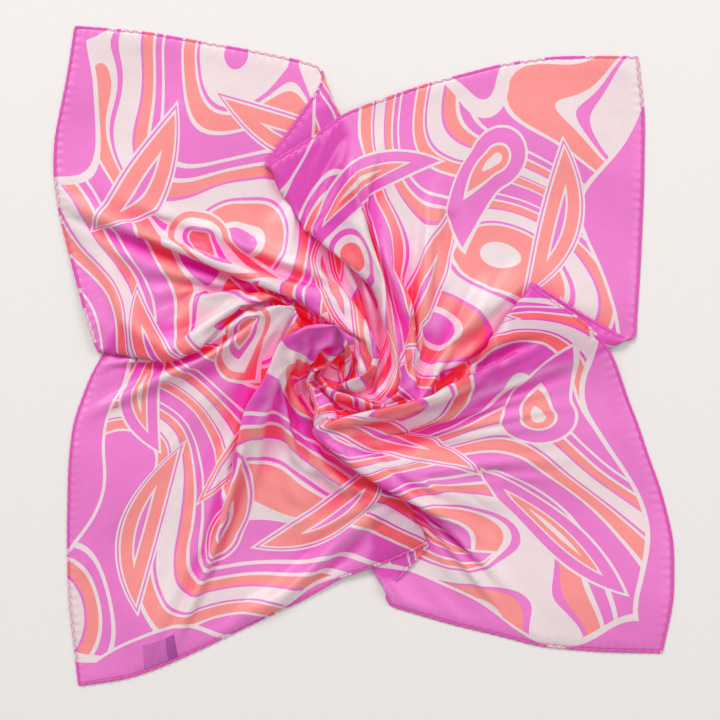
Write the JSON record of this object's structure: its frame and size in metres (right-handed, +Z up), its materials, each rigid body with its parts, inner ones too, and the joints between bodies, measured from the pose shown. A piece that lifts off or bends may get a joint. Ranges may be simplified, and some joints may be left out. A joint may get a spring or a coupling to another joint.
{
  "type": "silk square scarf",
  "caption": "Square scarf of thin printed silk with a narrow rolled hem, laid flat with its middle twisted into a swirl of folds.",
  "frame": {"origin": "on the surface that the scarf lies on, under the middle of its laid-out outline", "axes": "+Z up from the surface, +X and +Y along the square's sides, with +Y away from a viewer who stands at its lower edge"},
  "size_m": [0.4957, 0.5255, 0.0312],
  "materials": {
    "silk_print": "printed silk, soft satin sheen",
    "silk_reverse": "reverse of printed silk, slightly paler",
    "rolled_hem": "rolled silk hem with zig-zag stitching"
  },
  "bodies": {
    "root": {"swirl": "silk_print", "petal_upper_left": "silk_print", "petal_upper_right": "silk_print", "petal_lower_right": "silk_print", "petal_lower_left": "silk_print", "pleat_left": "silk_reverse", "pleat_top": "silk_reverse", "pleat_right": "silk_reverse", "pleat_bottom": "silk_reverse", "hem_upper_left": "rolled_hem", "hem_upper_right": "rolled_hem", "hem_lower_right": "rolled_hem", "hem_lower_left": "rolled_hem", "hem_pleat_left": "rolled_hem", "hem_pleat_top": "rolled_hem", "hem_pleat_right": "rolled_hem", "hem_pleat_bottom": "rolled_hem"}
  },
  "joints": []
}
